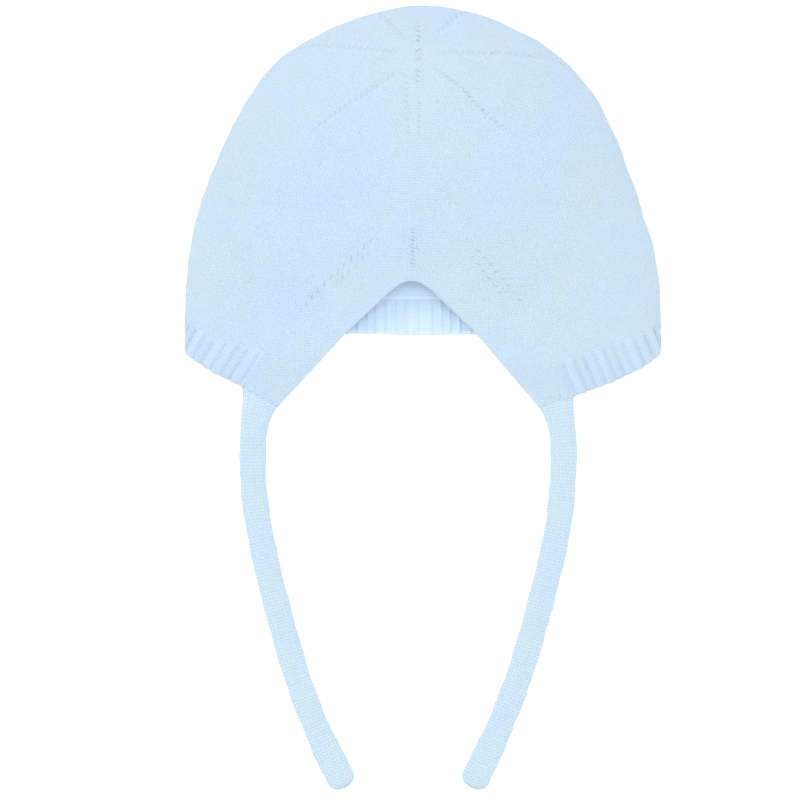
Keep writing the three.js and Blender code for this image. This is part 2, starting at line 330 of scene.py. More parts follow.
def smooth_line(points, step):
    """Points a step apart on a smooth line through these, by Catmull-Rom."""
    p = np.asarray(points, float)
    p = np.vstack([2 * p[0] - p[1], p, 2 * p[-1] - p[-2]])
    fine = []
    for a, b, c, d in zip(p, p[1:], p[2:], p[3:]):
        for t in np.arange(0, 1, 0.05):
            fine.append(
                0.5 * (2 * b + (c - a) * t + (2 * a - 5 * b + 4 * c - d) * t * t + (3 * b - a - 3 * c + d) * t**3)
            )
    fine = np.array([*fine, p[-2]])
    far = np.concatenate([[0], np.cumsum(np.linalg.norm(np.diff(fine, axis=0), axis=1))])
    at = np.linspace(0, far[-1], max(2, int(round(far[-1] / step)) + 1))
    return np.stack([np.interp(at, far, fine[:, i]) for i in range(fine.shape[1])], axis=1)


def hermite(a, b, slope_a, slope_b, t):
    a, b, slope_a, slope_b = map(np.asarray, (a, b, slope_a, slope_b))
    t = np.asarray(t)[:, None]
    return (
        a * (1 + 2 * t) * (1 - t) ** 2
        + slope_a * t * (1 - t) ** 2
        + b * t * t * (3 - 2 * t)
        + slope_b * t * t * (t - 1)
    )


def tie(name, node, route, outer_corner, inner_corner, edge_slope, flap_height, flap_tilt, seed):
    """outer_corner and inner_corner are the flap's corners that the tie is sewn between, edge_slope is the way the
    edge of the face opening runs there, and flap_height and flap_tilt say how the flap's edge lies."""
    line = smooth_line(route, TIE_STEP)
    heading = np.gradient(line, axis=0)
    heading /= np.linalg.norm(heading, axis=1)[:, None]
    side = np.stack([-heading[:, 1], heading[:, 0]], axis=1)  # to the right of the picture, as the tie runs down
    side *= np.sign(side[:, :1])
    run = np.concatenate([[0], np.cumsum(np.linalg.norm(np.diff(line, axis=0), axis=1))])
    to_end = run[-1] - run
    half = TIE_HALF_WIDTH + TIE_WIDER_BY * smoothstep(*TIE_WIDENS, to_end)
    half = half + 0.12 * np.sin(run * 0.31 + seed) + 0.08 * np.sin(run * 0.83 + 2 * seed)
    left, right = line - side * half[:, None], line + side * half[:, None]
    own = np.flatnonzero(line[:, 1] < TIE_JOINS_AT)[0]
    corners = sorted((outer_corner, inner_corner))
    t = np.linspace(0, 1, TIE_JOIN_ROWS)[:-1]
    starts = []
    for corner, edge in zip(corners, (left, right)):
        inner = corner == inner_corner
        leave = np.array(edge_slope if inner else (0.0, -1.0))
        reach = np.linalg.norm(edge[own] - corner)
        starts.append(hermite(corner, edge[own], leave * reach * (0.75 if inner else 1.0), heading[own] * reach, t))
    left, right = np.vstack([starts[0], left[own:]]), np.vstack([starts[1], right[own:]])

    # the end is a rounded nose
    nose = np.sin(np.linspace(0, 1, NOSE_ROWS)[1:] * math.pi / 2)
    ahead = heading[-1] * TIE_HALF_WIDTH * NOSE_LENGTH
    back = heading[-1] * (TIE_HALF_WIDTH * NOSE_LENGTH - TIE_END)
    keep = np.linalg.norm((left + right) / 2 - (left[-1] + right[-1]) / 2, axis=1) > np.linalg.norm(back)
    keep[: len(t)] = True
    left, right = left[keep], right[keep]
    base_left, base_right = left[-1], right[-1]
    middle, arm = (base_left + base_right) / 2, (base_right - base_left) / 2
    close = (1 - nose**NOSE_POWER) ** (1 / NOSE_POWER)
    close[-1] = NOSE_TIP
    left = np.vstack([left, [middle + ahead * n - arm * c for n, c in zip(nose, close)]])
    right = np.vstack([right, [middle + ahead * n + arm * c for n, c in zip(nose, close)]])

    centre, across = (left + right) / 2, right - left
    width = np.linalg.norm(across, axis=1)
    across = across / width[:, None]
    run = np.concatenate([[0], np.cumsum(np.linalg.norm(np.diff(centre, axis=0), axis=1))])
    count = len(centre)
    thick = np.full(count, TIE_HALF_THICK)
    thick[-len(nose):] *= np.clip(close, NOSE_THIN, 1)
    at_flap = smoothstep(FLAP_BLEND, 0, run)
    thick += (FLAP_HALF_THICK - thick) * at_flap
    lift = TIE_HALF_THICK + (flap_height - TIE_HALF_THICK) * at_flap
    angle = np.arange(TIE_SIDES) / TIE_SIDES * 2 * math.pi
    round_x = np.sign(np.cos(angle)) * np.abs(np.cos(angle)) ** (2 / TIE_POWERS[0])
    round_z = np.sign(np.sin(angle)) * np.abs(np.sin(angle)) ** (2 / TIE_POWERS[1])
    phase = (round_x + 1) / 2 * TIE_WALES
    wale = TIE_WALE_HEIGHT * (np.abs(np.sin(phase * math.pi)) - 0.75) * np.abs(round_z) ** 0.5
    points = np.empty((count, TIE_SIDES, 3))
    sway = (0.12 * np.sin(run * 0.22 + 3 * seed) * (1 - at_flap) + flap_tilt * at_flap)[:, None] * round_x[None, :]
    points[..., :2] = centre[:, None, :] + across[:, None, :] * (width[:, None, None] / 2) * round_x[None, :, None]
    points[..., 2] = lift[:, None] + thick[:, None] * round_z[None, :] + wale[None, :] * np.sign(round_z) + sway
    points[..., 2] = np.maximum(points[..., 2], TIE_LOWEST)
    faces, uvs = [], []
    for i in range(count - 1):
        for j in range(TIE_SIDES):
            k = (j + 1) % TIE_SIDES
            faces.append((i * TIE_SIDES + j, i * TIE_SIDES + k, (i + 1) * TIE_SIDES + k, (i + 1) * TIE_SIDES + j))
            for row, column in ((i, j), (i, k), (i + 1, k), (i + 1, j)):
                uvs.append((phase[column], -run[row] / TIE_COURSE))
    for row, order in ((0, -1), (count - 1, 1)):
        ring = list(range(row * TIE_SIDES, (row + 1) * TIE_SIDES))[::order]
        faces.append(tuple(ring))
        uvs += [(phase[i % TIE_SIDES], -run[row] / TIE_COURSE) for i in ring]
    piece = new_piece(name, points.reshape(-1, 3), faces, [TIE], uvs)
    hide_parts(node)
    return piece


tie("tie_left", "tie_left", TIE_ROUTE_LEFT, (-72.0, -71.6), (-58.1, -79.25), (-0.68, -0.73), 3.5, -1.24, 0.4)
tie("tie_right", "tie_right", TIE_ROUTE_RIGHT, (60.0, -75.5), (46.1, -79.3), (0.65, -0.76), 2.85, 0.6, 1.7)


# ---------------------------------------------------------------- the bonnet's surface, as in the CAD source

KNIT = 2.0
BAND_HEIGHT = 14.0
FOLD = 94.2
FOLD_RADIUS = 3.0
CROWN_Y = 79.8
CROWN_CURL = 14.0
SECTIONS = np.array(
    [  # depth below the crown, x of the middle, half the width, height of the side fold, rise of the face above it
        (0, 0, 0, 6.5, 0), (1.6, 0.1, 13.5, 6.5, 5), (4, 0.1, 23, 6.5, 8.2), (6.5, 0, 29.8, 6.6, 10.2),
        (9.5, -0.2, 36.7, 6.7, 12.2), (13, -0.4, 43.8, 6.8, 14), (18, -0.7, 51.9, 7, 16.2),
        (25, -0.6, 59.8, 7, 18.2), (36, -0.6, 68.2, 7, 20), (50, -0.7, 75.7, 6.8, 20.4),
        (68, -1.1, 83.4, 6.4, 18.4), (86, -1, 89, 5.8, 14.6), (104, -0.3, 93.1, 5.2, 10.4),
        (122, 0, FOLD, 4.4, 7), (140, 0, FOLD, 4, 5.2), (151, 0, FOLD, 2.4, 2.4), (162, 0, FOLD, 1.1, 0.2),
    ]
)
MIDDLE, HALF_WIDTH, FOLD_HEIGHT, RISE = 1, 2, 3, 4
DENTS = [
    ((-80, -12), (-66, -31), 6, 1.2),
    ((-66, -31), (-43, -38), 6, 1.2),
    ((50, -30), (64, -20), 7, 0.6),
    ((66, 10), (70, -14), 6, 0.7),
]
NOTCH = -4.4
NOTCH_ROUND = 6.0
LEFT_OUTER, LEFT_INNER, RIGHT_INNER, RIGHT_OUTER = -72.0, -58.0, 46.0, 60.0
RIM = np.array(
    [
        (-2 * FOLD, -50.8), (-1.7 * FOLD, -50.2), (-1.4 * FOLD, -52.2), (-FOLD, -59), (-84, -65.8),
        (LEFT_OUTER, -71.5), (LEFT_INNER, -79.2), (-31.2, -50.4), (-12.8, -33.4), (NOTCH, -27.4),
        (3.6, -33.4), (21.2, -50.4), (RIGHT_INNER, -79.2), (RIGHT_OUTER, -75.4), (76, -69.6),
        (88.6, -63.4), (FOLD, -59), (1.4 * FOLD, -52.2), (1.7 * FOLD, -50.2), (2 * FOLD, -50.8),
    ]
)
LEFT_LEAN, RIGHT_LEAN = math.tan(math.radians(33)), -math.tan(math.radians(25))
LEAN_REACH = 10.0
LEAN_FROM_FACE = 40.0
LEAN_TO_SIDE = (74.0, 87.0)


def section(column, depth):
    rows, places = SECTIONS[:, column], np.sqrt(SECTIONS[:, 0])
    last = len(rows) - 1
    after, before = np.minimum(np.arange(last + 1) + 1, last), np.maximum(np.arange(last + 1) - 1, 0)
    slopes = (rows[after] - rows[before]) / (places[after] - places[before])
    at = np.sqrt(np.clip(depth, 0, SECTIONS[-1, 0]))
    i = np.clip(np.searchsorted(places, at) - 1, 0, last - 1)
    span = places[i + 1] - places[i]
    t = (at - places[i]) / span
    return (
        rows[i] * (1 + 2 * t) * (1 - t) ** 2
        + slopes[i] * span * t * (1 - t) ** 2
        + rows[i + 1] * t * t * (3 - 2 * t)
        + slopes[i + 1] * span * t * t * (t - 1)
    )


def rim_y(girth):
    beside = np.maximum(0, 1 - np.abs(girth - NOTCH) / NOTCH_ROUND)
    return np.interp(girth, RIM[:, 0], RIM[:, 1]) - NOTCH_ROUND * 0.35 * beside**2


def lean(girth, height):
    share = smoothstep(0, LEAN_FROM_FACE, np.abs(girth)) * (1 - smoothstep(*LEAN_TO_SIDE, np.abs(girth)))
    above = np.maximum(0, height - BAND_HEIGHT)
    slope = np.where(girth < 0, LEFT_LEAN, RIGHT_LEAN)
    return slope * share * (np.minimum(height, BAND_HEIGHT) + LEAN_REACH * (1 - np.exp(-above / LEAN_REACH)))


def to_segment(x, y, a, b):
    """How far along the segment from a to b the nearest point is, from 0 to 1, and the distance to it."""
    (ax, ay), (bx, by) = a, b
    t = np.clip(((x - ax) * (bx - ax) + (y - ay) * (by - ay)) / ((bx - ax) ** 2 + (by - ay) ** 2), 0, 1)
    return t, np.hypot(x - ax - t * (bx - ax), y - ay - t * (by - ay))


def dent(x, y):
    return np.max([deep * np.exp(-((to_segment(x, y, a, b)[1] / width) ** 2)) for a, b, width, deep in DENTS], axis=0)


def fabric(girth, depth):
    """The middle of the fabric at a girth and a depth below the crown."""
    turns = (girth / FOLD + 6) % 4 - 2
    on_face = np.abs(turns) <= 1
    across = np.where(on_face, turns, np.sign(turns) * (2 - np.abs(turns)))
    half_width = section(HALF_WIDTH, depth)
    x = section(MIDDLE, depth) + half_width * across
    y = CROWN_Y - depth
    fold_height, rise = section(FOLD_HEIGHT, depth), section(RISE, depth)
    power = np.maximum(2, 2 * half_width * FOLD_RADIUS / np.maximum(rise, 0.1) ** 2)
    share = np.sqrt(np.maximum(0, 1 - np.abs(across) ** power))
    face_z = fold_height + share * (rise - dent(x, y))
    curl = np.clip(1 - depth / CROWN_CURL, 0, 1)
    lift = (SECTIONS[0, FOLD_HEIGHT] - KNIT / 2) * (1 - np.sqrt(1 - curl**2))
    drop = np.maximum(0.01, fold_height - KNIT / 2 - lift)
    bend = np.minimum(drop**2 / FOLD_RADIUS, half_width + 0.01)
    turn = np.clip(1 - half_width * (1 - np.abs(across)) / bend, 0, 1)
    back_z = fold_height - drop * np.sqrt(1 - turn**2)
    return np.stack([x, y + 0 * x, np.where(on_face, face_z, back_z)], axis=-1)


def middle_and_normal(girth, height):
    """The middle of the fabric and its outward normal, by differences along the fabric's own directions."""
    step = 0.2
    place, depth = girth + lean(girth, height), CROWN_Y - rim_y(girth) - height
    ahead = np.clip(0.7 * depth, 0.005, step)  # to stay short of the crown's end
    up = fabric(place, depth - ahead) - fabric(place, depth + step)
    around = fabric(place + step, depth) - fabric(place - step, depth)
    normal = np.cross(around, up)
    return fabric(place, depth), normal / np.maximum(np.linalg.norm(normal, axis=-1), 1e-9)[..., None]


# Lengths along the fabric, so that stitches keep their size where it turns over
GIRTH_CELLS, DEPTH_CELLS = 1200, 216
DEEPEST = SECTIONS[-1, 0]
TABLE_GIRTH = np.linspace(-2 * FOLD, 2 * FOLD, GIRTH_CELLS + 1)
TABLE_DEPTH = np.linspace(0, DEEPEST, DEPTH_CELLS + 1)
BACK_OF_CELL = 0.001  # share of a cell that keeps a place at the table's end inside its last cell


def length_tables():
    """Lengths round the fabric from the middle of the face, and down it from the crown."""
    grid = fabric(*np.meshgrid(TABLE_GIRTH, TABLE_DEPTH))
    around = np.cumsum(np.linalg.norm(np.diff(grid, axis=1, prepend=grid[:, :1]), axis=2), axis=1)
    around -= around[:, GIRTH_CELLS // 2, None]
    down = np.cumsum(np.linalg.norm(np.diff(grid[..., 1:], axis=0, prepend=grid[:1, :, 1:]), axis=2), axis=0)
    return around, down


AROUND, DOWN = length_tables()


def looked_up(table, girth, depth):
    i = np.clip((girth + 2 * FOLD) / (4 * FOLD) * GIRTH_CELLS, 0, GIRTH_CELLS - BACK_OF_CELL)
    j = np.clip(depth / DEEPEST * DEPTH_CELLS, 0, DEPTH_CELLS - BACK_OF_CELL)
    a, b = i.astype(int), j.astype(int)
    p, q = i - a, j - b
    low = table[b, a] * (1 - p) + table[b, a + 1] * p
    high = table[b + 1, a] * (1 - p) + table[b + 1, a + 1] * p
    return low * (1 - q) + high * q


# ---------------------------------------------------------------- lines that the shaping leaves in the plain knit

# Each has its points, mm between stitches, how strong its ridge and its dots are, and for some the mm by which it
# wins over its neighbours
FACE_LINES = [
    ([(-9, 60.6), (-22.4, 62), (-39.2, 63.6), (-46, 63.2), (-58, 61)], 2.4, 0.8, 0.45),
    ([(58.8, 54.8), (52, 57.6), (32.8, 60.4), (4, 60.4)], 2.4, 0.7, 0.5),
    ([(-7, 65.2), (-16.8, 76.4), (-19, 79)], 2.4, 0.6, 0.6),
    ([(17.5, 79), (14.8, 76.4), (3.5, 66.2)], 2.4, 0.6, 0.6),
    ([(-8.8, 53.6), (-26.4, 42), (-32, 38.4), (-46, 28)], 2.5, 0.7, 0.5),
    ([(35.6, 28), (24.4, 36.4), (14.8, 46.8), (4.6, 54)], 2.4, 0.8, 0.7),
    ([(-2.2, 74), (-2, 68), (-2.6, 46)], 2.0, 0.7, 1.2, 1.0),
    ([(-7, 54), (-6.8, 44), (-6, 26)], 2.4, 0.25, 0.6),
    ([(-1.8, 44), (-2, 26)], 2.4, 0.3, 0.7),
    ([(-4.4, 20), (-4.4, -8)], 2.4, 0.3, 0.2),
    ([(-4.4, -2), (-4.4, -27)], 1.5, 0.9, 1.1, 0.6),
    ([(-6.8, -8), (-10.2, -23)], 1.6, 0.0, 0.4),
    ([(-2, -8), (1.4, -23)], 1.6, 0.0, 0.4),
    ([(-4.6, 61), (0.2, 61)], 4.8, 0.0, 1.5, 3.0),
    ([(-4.6, 57.4), (0.2, 57.4)], 4.8, 0.0, 1.4, 3.0),
    ([(-22, 4), (-16.8, 12.8), (-9, 24)], 2.4, 0.25, 0.3),
    ([(12.4, 1), (8, 7.2), (3.2, 22.5)], 2.4, 0.2, 0.25),
]
# where stitches are doubled beside the face opening: two rows of small dimples on each side
FACE_LINES += [
    ([(-19.6, -12), (-25.4, -18), (-32.3, -24), (-43.2, -34.2), (-46, -38), (-51.6, -45.2)], 3.6, 0.0, 1.15),
    ([(-20.5, -16.5), (-24.9, -21.6), (-29.2, -25.2), (-36.4, -31.8)], 3.6, 0.0, 1.0),
    ([(18, -14), (24.9, -20.6), (28, -24.6), (32.2, -29.4), (37, -34.6), (40.5, -41)], 3.6, 0.0, 1.15),
    ([(18.3, -18.8), (21.5, -22), (24.4, -26), (28.6, -31), (32.8, -36.6)], 3.6, 0.0, 1.0),
]
# where the ties are sewn on
SEAM_MARKS = [(-67.4, -71.9), (-63.2, -74.4), (-60.6, -77.3), (58.2, -73.6), (54.6, -75.2), (50.6, -75.9)]
FACE_LINES += [([(x - 0.6, y - 1.6), (x + 0.6, y + 1.6)], 3.88, 0.0, 0.8) for x, y in SEAM_MARKS]
BACK_LINES = [
    ([(-19, 79), (-31, 58), (-36, 42)], 2.4, 0.9, 0.7),
    ([(17.5, 79), (29, 58), (34, 42)], 2.4, 0.9, 0.7),
    ([(-2, 79), (-2, 48)], 2.4, 0.9, 0.8),
    ([(-56, 61), (-44, 56), (-34, 50)], 2.4, 0.8, 0.6),
    ([(60, 54), (46, 50), (36, 45)], 2.4, 0.8, 0.6),
]
LINE_FADE = 5.0  # mm over which a line ends
LINE_PAST = 1.4  # mm past its end over which it stops counting
SHORTEST_LINE = 5.0  # mm, and shorter ones are single marks, which don't fade
LINE_REACH = (2.4, 3.8)  # mm to its side over which it stops counting
LINES_APART = (0.5, 1.6)  # mm that the second nearest line is farther away, over which the nearest starts to count
NO_LINE = 50.0  # mm aside where there is no line


def one_line(x, y, points, pitch):
    """Distance to a line, place along it in stitches, mm to its side, and how much of it is left past its ends."""
    lengths = [math.dist(a, b) for a, b in zip(points, points[1:])]
    total, before = sum(lengths), 0.0
    best = np.full(x.shape, 1e9)
    along, across, left = np.zeros(x.shape), np.zeros(x.shape), np.zeros(x.shape)
    for a, b, length in zip(points, points[1:], lengths):
        _, far = to_segment(x, y, a, b)
        dx, dy = (b[0] - a[0]) / length, (b[1] - a[1]) / length
        run = before + (x - a[0]) * dx + (y - a[1]) * dy
        aside = dx * (y - a[1]) - dy * (x - a[0])
        past = np.sqrt(np.maximum(0, far**2 - aside**2))
        weight = smoothstep(LINE_PAST, 0, past)
        if total > SHORTEST_LINE:
            weight = weight * smoothstep(0, LINE_FADE, np.minimum(run, total - run) + 0.6)
        nearer = far < best
        best = np.where(nearer, far, best)
        along, across = np.where(nearer, run / pitch, along), np.where(nearer, aside, across)
        left = np.where(nearer, weight, left)
        before += length
    return best, along, across, left


def line_layers(x, y, on_face):
    """For every point: place along the nearest line in stitches, mm to its side, and its ridge and dots."""
    best, second = np.full(x.shape, 1e9), np.full(x.shape, 1e9)
    along, across, ridge, dots = np.zeros(x.shape), np.full(x.shape, NO_LINE), np.zeros(x.shape), np.zeros(x.shape)
    for lines, here in ((FACE_LINES, on_face), (BACK_LINES, ~on_face)):
        for points, pitch, ridge_here, dots_here, *lead in lines:
            far, run, aside, left = one_line(x, y, points, pitch)
            far = far - sum(lead)
            nearer = here & (far < best)
            second = np.where(nearer, best, np.where(here, np.minimum(second, far), second))
            best = np.where(nearer, far, best)
            along, across = np.where(nearer, run, along), np.where(nearer, aside, across)
            ridge, dots = np.where(nearer, ridge_here * left, ridge), np.where(nearer, dots_here * left, dots)
    near = smoothstep(LINE_REACH[1], LINE_REACH[0], best) * smoothstep(*LINES_APART, second - best)
    return along, across, ridge * near, dots * near


# Which way the stitch columns of the face run: borders between its panels
PANEL_LEFT = np.array(
    [(-80, -75), (-60, -62), (-45.2, -51.6), (-38, -46), (-32.8, -43.2), (-27.2, -33.6), (-24.4, -29.2),
     (-18.8, -24), (-12, -19.6), (6, -21.2), (12.8, -16.8), (22.4, -10), (28, -7.5), (60, -6), (80, -4)]
)
PANEL_RIGHT = np.array(
    [(-80, 66), (-62, 54), (-50, 44), (-35.6, 32.8), (-25.6, 24.4), (-18.8, 18.8), (2, 12), (7.2, 8),
     (21.2, 3.6), (28, 1.5), (60, -1), (80, -2)]
)
LOW_ARM = np.array(
    [(-110, -8), (-80, 6), (-46, 28), (-26.4, 42), (-3.2, 60), (14.8, 46.8), (35.6, 28), (80, 0), (110, -14)]
)
HIGH_ARM = np.array([(-110, 58), (-46, 63.2), (-22.4, 62), (-3.2, 60.4), (32.8, 60.4), (58.8, 54.8), (110, 40)])
WALE, COURSE = 1.3, 1.05  # mm from stitch to stitch, across and along


def wale_direction(x, y, on_face):
    """Angle in degrees of the stitch columns at a place."""
    middle = x > np.interp(y, PANEL_LEFT[:, 0], PANEL_LEFT[:, 1])
    middle &= x < np.interp(y, PANEL_RIGHT[:, 0], PANEL_RIGHT[:, 1])
    above_low = y > np.interp(x, LOW_ARM[:, 0], LOW_ARM[:, 1])
    above_high = y > np.interp(x, HIGH_ARM[:, 0], HIGH_ARM[:, 1])
    near_top = np.abs(x + 2) < (y - 60) * 0.95
    left = x < -3.2
    angle = np.where(left, 52.0, 128.0)
    angle = np.where(middle & ~above_high, 90.0, angle)
    angle = np.where(above_low & ~above_high & ~(middle & (y < 58)), np.where(left, 18.0, 162.0), angle)
    angle = np.where(above_high, np.where(left, 150.0, 30.0), angle)
    angle = np.where(above_high & near_top, np.where(left, 108.0, 72.0), angle)
    return np.where(on_face, angle, 90.0)


# ---------------------------------------------------------------- crown

RIM_ROWS = [0, 0.08, 0.3, 0.65, 1.1, 1.8]  # mm above the rim
SEAM_GAP = 0.012
SEAM_SUPPORT = 0.05  # mm from a seam to the next row or column, which keeps the shading flat up to the seam
BAND_ROWS_BESIDE = 15  # rows of the flaps beside the band
CROWN_ROWS, CROWN_POWER = 150, 1.55  # rows above the band, and how much closer they lie towards the top
CROWN_START = BAND_HEIGHT + SEAM_GAP
EVEN_DEPTH = 130.0  # mm below the crown, above which the rows run level
FACE_STEP, BACK_STEP = 0.72, 2.4
FOLD_ZONE, FOLD_STEPS = 9.0, 14  # mm to each side of a fold with narrower columns, and how many
RIDGE_AT, RIDGE_WIDE, RIDGE_HIGH = 1.3, 1.0, 0.4  # mm, of the ridge beside a line
VALLEY_WIDE, VALLEY_DEEP = 0.9, 0.22
CROWN_EDGE, BAND_EDGE = 1.3, 1.5  # mm above the rim over which the edge is rounded
LOWEST = 0.04  # mm above the floor
UPRIGHT = 90.0


def between(a, b, step):
    """Points from a up to b, an even number of steps, without b."""
    count = max(2, 2 * int(round((b - a) / step / 2)))
    return list(a + (b - a) * np.arange(count) / count)


def columns():
    around_fold = [FOLD_ZONE * (k / FOLD_STEPS) ** 2 for k in range(FOLD_STEPS + 1)]
    spread = [-d for d in around_fold[:0:-1]] + around_fold[:-1]
    found = between(-2 * FOLD, -FOLD - FOLD_ZONE, BACK_STEP) + [-FOLD + d for d in spread]
    near, nearer = 2 * SEAM_SUPPORT, SEAM_SUPPORT
    stops = [-FOLD + FOLD_ZONE, LEFT_OUTER, LEFT_OUTER + near, LEFT_INNER, NOTCH - NOTCH_ROUND, NOTCH,
             NOTCH + NOTCH_ROUND, RIGHT_INNER, RIGHT_OUTER - near, RIGHT_OUTER, FOLD - FOLD_ZONE]
    for a, b in zip(stops, stops[1:]):
        found += between(a, b, nearer if b - a < 1 else FACE_STEP)
    found += [FOLD + d for d in spread] + between(FOLD + FOLD_ZONE, 2 * FOLD, BACK_STEP)
    return np.array(found)


def ripple(x, y):
    """Unevenness of cloth that lies loosely, in mm."""
    return (
        0.22 * np.sin(0.16 * x + 0.05 * y + 1.1) * np.sin(0.11 * y - 0.04 * x + 0.4)
        + 0.14 * np.sin(0.31 * x - 0.22 * y + 2.3)
        + 0.1 * np.sin(0.47 * y + 0.36 * x + 0.7)
    )


def looseness(height, y):
    return smoothstep(0, 12, height) * smoothstep(0, 6, CROWN_Y - y)


def rounded(height, reach):
    """Share of the fabric's thickness that is left at a height above the rim."""
    return np.sqrt(np.clip(1 - (1 - np.clip(height / reach, 0, 1)) ** 2, 0.02, 1))


def crown():
    girths = columns()
    beside_band = np.linspace(RIM_ROWS[-1], CROWN_START, BAND_ROWS_BESIDE)[1:-1]
    low = np.array([*RIM_ROWS, *beside_band, CROWN_START])
    if len(low) % 2 == 0:
        low = np.delete(low, len(low) // 2)
    band_rows = len(low) - 1
    share = (1 - np.arange(1, CROWN_ROWS) / CROWN_ROWS) ** CROWN_POWER
    whole = CROWN_Y - rim_y(girths)
    depth = share[:, None] * (EVEN_DEPTH + (whole[None, :] - CROWN_START - EVEN_DEPTH) * share[:, None])
    low = np.append(low, CROWN_START + SEAM_SUPPORT)
    height = np.vstack([np.repeat(low[:, None], len(girths), axis=1), whole[None, :] - depth])
    if height.shape[0] % 2 == 0:
        height = np.delete(height, band_rows + 3, axis=0)
    rows, count = height.shape
    girth = np.repeat(girths[None, :], rows, axis=0)
    middle, normal = middle_and_normal(girth, height)
    x, y = middle[..., 0], middle[..., 1]
    place = girth + lean(girth, height)
    on_face = np.abs(place) <= FOLD
    along, across, ridge, dots = line_layers(x, y, on_face)
    relief = RIDGE_HIGH * ridge * np.exp(-(((across - RIDGE_AT) / RIDGE_WIDE) ** 2))
    relief = relief - VALLEY_DEEP * ridge * np.exp(-((across / VALLEY_WIDE) ** 2))
    loose = looseness(height, y)
    edge = rounded(height, CROWN_EDGE)
    sewn = (girths <= LEFT_INNER + 0.01) | (girths >= RIGHT_INNER - 0.01)  # to a tie or to the band
    edge = np.where(sewn[None, :], 1.0, edge)
    outer = middle + normal * (edge * KNIT / 2 + relief + ripple(x, y) * loose)[..., None]
    inner = middle - normal * (edge * KNIT / 2 - ripple(x, y) * loose)[..., None]
    for layer in (outer, inner):
        layer[..., 2] = np.maximum(layer[..., 2], LOWEST)

    tip_height = SECTIONS[0, FOLD_HEIGHT]
    tips = np.array([[0, CROWN_Y + KNIT / 2, tip_height], [0, CROWN_Y - KNIT / 2, tip_height]])
    points = np.vstack([outer.reshape(-1, 3), inner.reshape(-1, 3), tips])
    size = rows * count
    kept_column = (girths >= LEFT_OUTER - 1e-6) & (girths < RIGHT_OUTER - 1e-6)

    def kept(i, j):
        """Whether the crown has this cell. Below the band's top it has only those of the flaps."""
        return 0 <= i < rows - 1 and (i >= band_rows or kept_column[j % count])

    depth_here = CROWN_Y - rim_y(girth) - height
    s, t = looked_up(AROUND, place, depth_here), -looked_up(DOWN, place, depth_here)
    s_back = s - looked_up(AROUND, np.where(place > 0, 2 * FOLD, -2 * FOLD), depth_here)
    lengths = {True: (s.ravel(), t.ravel()), False: (s_back.ravel(), t.ravel())}
    faces, uvs, face_material, flat = [], [], [], []

    def add(corners, grid_corners, angle, front, material, at_seam=False):
        s_all, t_all = lengths[front]
        flat.append(at_seam)
        dx, dy = math.cos(math.radians(angle)), math.sin(math.radians(angle))
        faces.append(corners)
        face_material.append(material)
        for g in grid_corners:
            uvs.append(((s_all[g] * dy - t_all[g] * dx) / WALE, (s_all[g] * dx + t_all[g] * dy) / COURSE))

    centre_x = (x[:-1] + x[1:]) / 2
    centre_y = (y[:-1] + y[1:]) / 2
    angles = wale_direction(centre_x, centre_y, on_face[:-1])
    for i in range(rows - 1):
        for j in range(count):
            if not kept(i, j):
                continue
            k = (j + 1) % count
            corners = (i * count + j, i * count + k, (i + 1) * count + k, (i + 1) * count + j)
            front = bool(on_face[i, j] and on_face[i, k])
            add(corners, corners, angles[i, j] if front else UPRIGHT, front, 0)
    # the inside, with cells twice as large and the outer cells' points along every edge
    for i in range(0, rows - 1, 2):
        for j in range(0, count, 2):
            if not kept(i, j):
                continue
            j1, j2 = (j + 1) % count, (j + 2) % count
            ring = [(i, j)]
            if i == 0 or not kept(i - 1, j):
                ring.append((i, j1))
            ring.append((i, j2))
            if not kept(i, j + 2):
                ring.append((i + 1, j2))
            ring.append((i + 2, j2))
            if i + 2 == rows - 1:
                ring.append((i + 2, j1))
            ring.append((i + 2, j))
            if not kept(i, j - 1):
                ring.append((i + 1, j))
            grid_corners = [r * count + c for r, c in ring][::-1]
            front = bool(on_face[i, j] and on_face[i, j2])
            add(tuple(size + g for g in grid_corners), grid_corners, UPRIGHT, front, 1)

    def wall(a, b, at_seam):
        """A face of the edge between outside and inside."""
        add((b, a, size + a, size + b), (b, a, a, b), UPRIGHT, True, 0, at_seam)

    for i in range(rows - 1):
        for j in range(count):
            if not kept(i, j):
                continue
            k = (j + 1) % count
            if i == 0 or not kept(i - 1, j):
                wall(i * count + j, i * count + k, i > 0 or bool(sewn[j] and sewn[k]))
            if not kept(i, j - 1):
                wall((i + 1) * count + j, i * count + j, True)
            if not kept(i, j + 1):
                wall(i * count + k, (i + 1) * count + k, True)
    top = (rows - 1) * count
    for j in range(count):
        k = (j + 1) % count
        front = bool(on_face[-1, j] and on_face[-1, k])
        add((top + j, top + k, 2 * size), (top + j, top + k, top + k), UPRIGHT, front, 0)
        add((size + top + k, size + top + j, 2 * size + 1), (top + k, top + j, top + j), UPRIGHT, front, 1)

    def per_point(grid, elsewhere):
        """The values of the outside's points, with one value for the inside and the tips."""
        return np.concatenate([grid.ravel(), np.full(size + len(tips), elsewhere)])

    corner_points = [p for face in faces for p in face]
    lines = np.column_stack([per_point(along, 0.0), per_point(across, NO_LINE)])[corner_points]
    piece = new_piece(
        "crown", points, faces, [PLAIN, PLAIN_BACK], uvs,
        {"lines": lines}, {"ridge": per_point(ridge, 0.0), "dots": per_point(dots, 0.0)}, face_material, flat,
    )
    used = np.zeros(len(points), bool)
    used[corner_points] = True
    remove_loose(piece, used)
    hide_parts("crown")
    return piece


